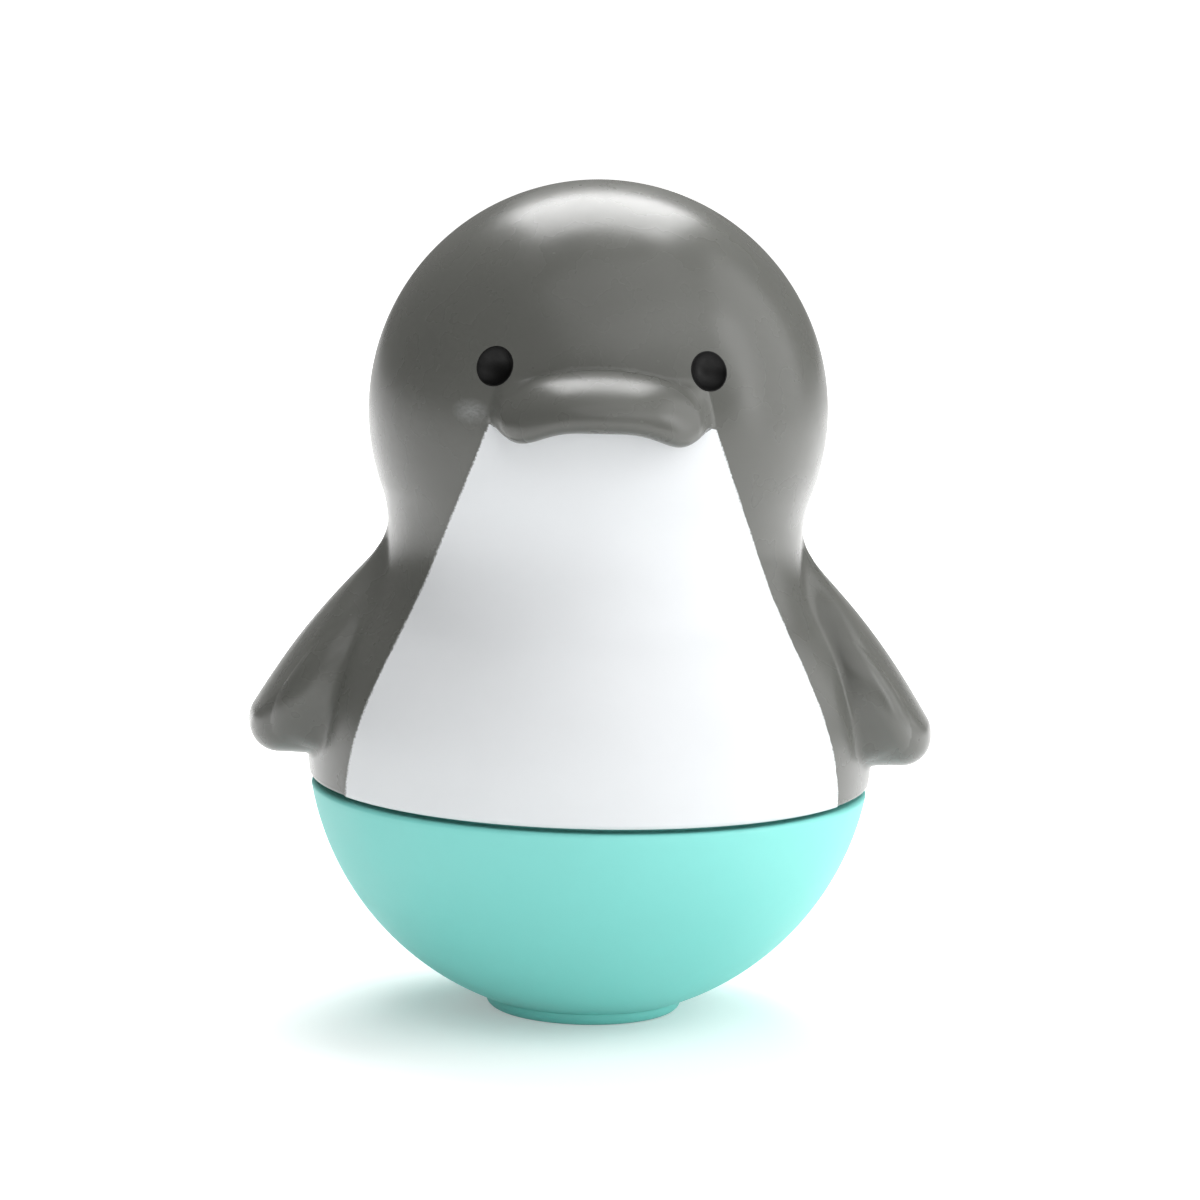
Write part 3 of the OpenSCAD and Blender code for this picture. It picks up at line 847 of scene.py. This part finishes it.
class Look:
    """One procedural material: a Principled shader whose colour, roughness and bump come from noise."""

    def __init__(self, name, colour, roughness, metallic=0.0, specular=0.5):
        self.material = bpy.data.materials.new(name)
        self.material.use_nodes = True
        self.tree = self.material.node_tree
        self.shader = self.tree.nodes["Principled BSDF"]
        self.shader.inputs["Metallic"].default_value = metallic
        self.shader.inputs["Specular IOR Level"].default_value = specular
        self.place = self.tree.nodes.new("ShaderNodeTexCoord").outputs["Object"]
        self.colour = linear(colour)
        self.roughness = roughness

    def node(self, kind, links=(), **settings):
        """Adds a node, with its settings, and values or other nodes' outputs for its inputs."""
        made = self.tree.nodes.new(kind)
        for key, value in settings.items():
            setattr(made, key, value)
        for socket, source in dict(links).items():
            if isinstance(source, bpy.types.NodeSocket):
                self.tree.links.new(source, made.inputs[socket])
            else:
                made.inputs[socket].default_value = source
        return made

    def noise(self, size, detail=2.0, stretch=(1, 1, 1)):
        """Noise from 0 to 1 with features of about a size in millimetres."""
        where = self.node("ShaderNodeMapping", {"Vector": self.place, "Scale": stretch}).outputs["Vector"]
        links = {"Vector": where, "Scale": 1 / (size * MM), "Detail": detail}
        return self.node("ShaderNodeTexNoise", links).outputs["Fac"]

    def spread(self, value, low, high, start=0.3, stop=0.7):
        """A value from start to stop, spread over low to high."""
        links = {"Value": value, "From Min": start, "From Max": stop, "To Min": low, "To Max": high}
        return self.node("ShaderNodeMapRange", links).outputs["Result"]

    def mix(self, amount, first, second):
        """Colour between two colours."""
        links = {0: amount, 6: first, 7: second}
        return self.node("ShaderNodeMix", links, data_type="RGBA").outputs[2]

    def math(self, operation, first, second):
        return self.node("ShaderNodeMath", {0: first, 1: second}, operation=operation).outputs[0]

    def vector(self, operation, first, second=(0, 0, 0)):
        return self.node("ShaderNodeVectorMath", {0: first, 1: second}, operation=operation)

    def mottle(self, size, amount, grain, grain_amount):
        """Base colour with broad mottling and a fine even grain."""
        low, high = scaled(self.colour, 1 - amount), scaled(self.colour, 1 + amount)
        broad = self.mix(self.spread(self.noise(size, detail=1), 0, 1), (*low, 1), (*high, 1))
        fine = self.spread(self.noise(grain, detail=0), 0, grain_amount, start=0, stop=1)
        return self.mix(fine, broad, (*low, 1))

    def bump(self, layers):
        """Bump from layers of (height value, depth in millimetres)."""
        normal = None
        for height, depth in layers:
            links = {"Height": height, "Distance": depth * MM, "Strength": 1.0}
            if normal is not None:
                links["Normal"] = normal
            normal = self.node("ShaderNodeBump", links).outputs["Normal"]
        return normal

    def finish(self, colour, rough_size, rough_change, layers):
        """Joins colour, uneven roughness and bump to the shader."""
        low, high = self.roughness - rough_change, self.roughness + rough_change
        rough = self.spread(self.noise(rough_size, detail=3), low, high)
        for socket, value in (("Base Color", colour), ("Roughness", rough), ("Normal", self.bump(layers))):
            self.tree.links.new(value, self.shader.inputs[socket])
        return self.material


def grey_plastic():
    """Satin grey plastic with a rubbed spot on one cheek."""
    look = Look("grey_shell_plastic", GREY, roughness=0.28, specular=0.42)
    colour = look.mottle(size=11, amount=0.03, grain=1.6, grain_amount=0.5)
    from_rub = look.vector("SUBTRACT", look.place, RUB_PLACE).outputs[0]
    in_sizes = look.vector("DIVIDE", from_rub, RUB_HALF_SIZE).outputs[0]
    away = look.vector("LENGTH", in_sizes).outputs["Value"]
    streaks = look.noise(size=0.6, detail=2, stretch=(1, 1, 2))
    strokes = look.spread(streaks, 0, RUB_STRENGTH, start=0.1, stop=0.8)
    rub = look.math("MULTIPLY", look.spread(away, 1, 0, start=RUB_CORE, stop=1), strokes)
    colour = look.mix(rub, colour, (*linear(WHITE), 1))
    return look.finish(colour, rough_size=6, rough_change=0.035, layers=[(look.noise(9, detail=1), 0.012)])


def white_paint():
    """White paint that thins out in grains along its sprayed edge."""
    look = Look("white_belly_paint", WHITE, roughness=0.42)
    coat = look.mottle(size=9, amount=0.01, grain=1.2, grain_amount=0.5)
    from_edge = look.node("ShaderNodeAttribute", attribute_name="from_edge").outputs["Fac"]
    grains = look.spread(look.noise(size=0.3), -0.1, 0.1)
    cover = look.spread(look.math("ADD", from_edge, grains), 0, 1, start=-0.02, stop=0.22)
    colour = look.mix(cover, (*linear(GREY), 1), coat)
    return look.finish(colour, rough_size=5, rough_change=0.04, layers=[(look.noise(6, detail=1), 0.01)])


def black_paint():
    look = Look("black_eye_paint", BLACK, roughness=0.45, specular=0.2)
    colour = look.mottle(size=1.1, amount=0.2, grain=0.4, grain_amount=0.5)
    return look.finish(colour, rough_size=0.8, rough_change=0.08, layers=[(look.noise(0.8, detail=1), 0.01)])


def aqua_plastic():
    look = Look("aqua_bowl_plastic", AQUA, roughness=0.55, specular=1.0)
    colour = look.mottle(size=14, amount=0.015, grain=1.6, grain_amount=0.5)
    return look.finish(colour, rough_size=7, rough_change=0.03, layers=[(look.noise(10, detail=1), 0.012)])


def cast_iron():
    look = Look("cast_iron_ballast", IRON, roughness=0.55, metallic=0.8)
    colour = look.mottle(size=3, amount=0.25, grain=0.7, grain_amount=0.6)
    layers = [(look.noise(0.6, detail=5), 0.08), (look.noise(3), 0.1)]
    return look.finish(colour, rough_size=2, rough_change=0.15, layers=layers)


def foam():
    look = Look("foam_pad_rubber", FOAM, roughness=0.85)
    colour = look.mottle(size=2, amount=0.2, grain=0.5, grain_amount=0.6)
    return look.finish(colour, rough_size=1, rough_change=0.08, layers=[(look.noise(0.3), 0.05)])


def zinc():
    look = Look("zinc_plated_steel", ZINC, roughness=0.3, metallic=1.0)
    colour = look.mottle(size=1.5, amount=0.08, grain=0.5, grain_amount=0.5)
    layers = [(look.noise(0.25, detail=3, stretch=(1, 1, 6)), 0.006)]
    return look.finish(colour, rough_size=0.7, rough_change=0.1, layers=layers)


def dress(pieces, slots):
    """Gives every piece, and every CAD node that stays, its material."""
    makers = {
        "grey_shell": grey_plastic,
        "white_paint": white_paint,
        "black_paint": black_paint,
        "aqua_bowl": aqua_plastic,
        "cast_ballast": cast_iron,
        "foam_pad": foam,
        "zinc_steel": zinc,
    }
    materials = {slot: maker() for slot, maker in makers.items()}
    for node, solid in frame["nodes"].items():
        shown = pieces.get(node, solid)
        shown.data.materials.clear()
        shown.data.materials.append(materials[slots[node]])


def direction(turn, lift):
    """Unit vector at a turn from the camera's side towards the figure's left, and at a height angle."""
    return Vector((math.sin(turn) * math.cos(lift), -math.cos(turn) * math.cos(lift), math.sin(lift)))


def make_camera():
    """Camera at the photograph's angle, with its slight roll."""
    toward = direction(CAMERA_TURN, CAMERA_LIFT)
    level = Vector((0, 0, 1)).cross(toward).normalized()
    upright = toward.cross(level)
    right = level * math.cos(CAMERA_ROLL) + upright * math.sin(CAMERA_ROLL)
    up = upright * math.cos(CAMERA_ROLL) - level * math.sin(CAMERA_ROLL)
    camera = place_object("camera", bpy.data.cameras.new("camera"))
    camera.data.lens = CAMERA_LENS
    camera.data.sensor_width = CAMERA_SENSOR
    camera.data.clip_end = CAMERA_CLIP
    turn = Matrix((right, up, toward)).transposed().to_4x4()
    camera.matrix_world = Matrix.Translation(CAMERA_AIM + toward * CAMERA_FAR) @ turn
    bpy.context.scene.camera = camera


def make_lamp(name, turn, lift, size, power):
    """One rectangular soft box that faces the object."""
    toward = direction(math.radians(turn), math.radians(lift))
    data = bpy.data.lights.new(name, "AREA")
    data.shape = "RECTANGLE"
    data.size, data.size_y = size
    data.energy = power
    lamp = place_object(name, data)
    lamp.location = LAMP_AIM + toward * LAMP_FAR
    lamp.rotation_euler = toward.to_track_quat("Z", "Y").to_euler()


def make_world():
    """A dim warm white world that the camera sees as white."""
    world = bpy.data.worlds.new("studio")
    world.use_nodes = True
    bpy.context.scene.world = world
    tree = world.node_tree
    light = tree.nodes["Background"]
    light.inputs["Color"].default_value = (*WORLD_TINT, 1)
    strength = tree.nodes.new("ShaderNodeMapRange")
    strength.inputs["To Min"].default_value = WORLD_LIGHT
    strength.inputs["To Max"].default_value = 1.0
    path = tree.nodes.new("ShaderNodeLightPath")
    tree.links.new(path.outputs["Is Camera Ray"], strength.inputs["Value"])
    tree.links.new(strength.outputs["Result"], light.inputs["Strength"])


def seen_directly(tree):
    """Value that is 1 for rays that show the background: from the camera, or mirrored or passed on."""
    path = tree.nodes.new("ShaderNodeLightPath")
    total = path.outputs["Is Camera Ray"]
    for kind in ("Is Glossy Ray", "Is Transmission Ray"):
        larger = tree.nodes.new("ShaderNodeMath")
        larger.operation = "MAXIMUM"
        tree.links.new(total, larger.inputs[0])
        tree.links.new(path.outputs[kind], larger.inputs[1])
        total = larger.outputs[0]
    return total


def white_paper():
    """Floor paper that keeps the shadow near the object and turns white further out."""
    paper = bpy.data.materials.new("white_paper")
    paper.use_nodes = True
    tree = paper.node_tree
    shader = tree.nodes["Principled BSDF"]
    shader.inputs["Base Color"].default_value = (FLOOR_PAPER, FLOOR_PAPER, FLOOR_PAPER, 1)
    shader.inputs["Roughness"].default_value = FLOOR_ROUGHNESS
    shader.inputs["Specular IOR Level"].default_value = FLOOR_SPECULAR
    shader.inputs["Emission Color"].default_value = (1, 1, 1, 1)
    place = tree.nodes.new("ShaderNodeTexCoord")
    far = tree.nodes.new("ShaderNodeVectorMath")
    far.operation = "LENGTH"
    rise = tree.nodes.new("ShaderNodeMapRange")
    rise.inputs["From Min"].default_value, rise.inputs["From Max"].default_value = FLOOR_GLOW_SPAN
    rise.inputs["To Min"].default_value, rise.inputs["To Max"].default_value = FLOOR_GLOW
    glow = tree.nodes.new("ShaderNodeMath")
    glow.operation = "MULTIPLY"
    tree.links.new(place.outputs["Object"], far.inputs[0])
    tree.links.new(far.outputs["Value"], rise.inputs["Value"])
    tree.links.new(seen_directly(tree), glow.inputs[0])
    tree.links.new(rise.outputs["Result"], glow.inputs[1])
    tree.links.new(glow.outputs[0], shader.inputs["Emission Strength"])
    return paper


def make_studio():
    """White floor, soft lamps and the world."""
    make_world()
    for name, settings in LAMPS.items():
        make_lamp(name, *settings)
    mesh = bpy.data.meshes.new("floor")
    corners = [(x * FLOOR_REACH, y * FLOOR_REACH, 0) for x, y in ((-1, -1), (1, -1), (1, 1), (-1, 1))]
    mesh.from_pydata(corners, [], [(0, 1, 2, 3)])
    mesh.materials.append(white_paper())
    place_object("floor", mesh)


def main():
    slots = {part["node"]: part["material_slot"] for part in frame["record"]["subparts"]}
    make_camera()
    make_studio()
    dress(make_object(), slots)
    bpy.context.scene.view_settings.view_transform = "Standard"


main()
